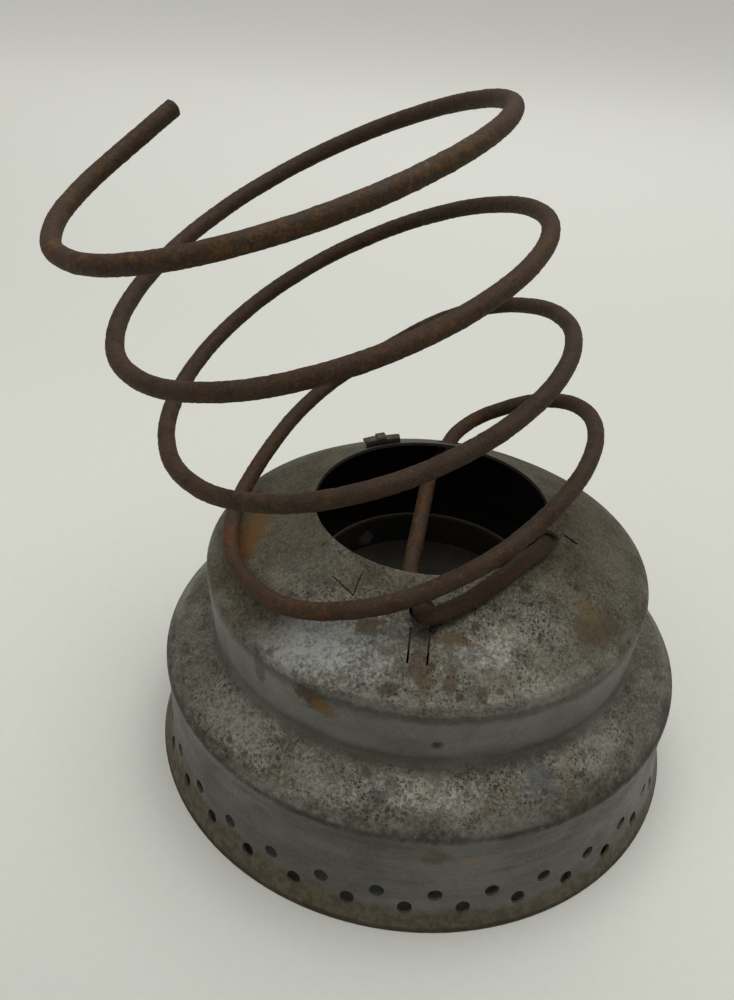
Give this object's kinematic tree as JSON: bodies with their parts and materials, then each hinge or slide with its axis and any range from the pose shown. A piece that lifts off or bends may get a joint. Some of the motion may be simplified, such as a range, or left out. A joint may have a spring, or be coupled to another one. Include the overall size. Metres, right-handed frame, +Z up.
{
  "type": "wire coil rest on a perforated sheet-metal bell",
  "caption": "Stepped galvanised bell with air holes and a round mouth, carrying an open leaning coil of rusty iron wire hooked through its crown.",
  "frame": {"origin": "on the bell's axis, in the plane its rim stands on", "axes": "+Z up along the bell's axis; the hook and the tongue are at -Y, the front; the coil leans towards -X"},
  "size_m": [0.1669, 0.152, 0.1786],
  "materials": {
    "galvanised_sheet": "weathered galvanised",
    "sooty_sheet": "dirty, dull",
    "rusty_wire": "pitted rust"
  },
  "bodies": {
    "root": {"shell": "galvanised_sheet", "inner_pan": "sooty_sheet", "wire": "rusty_wire"}
  },
  "joints": []
}
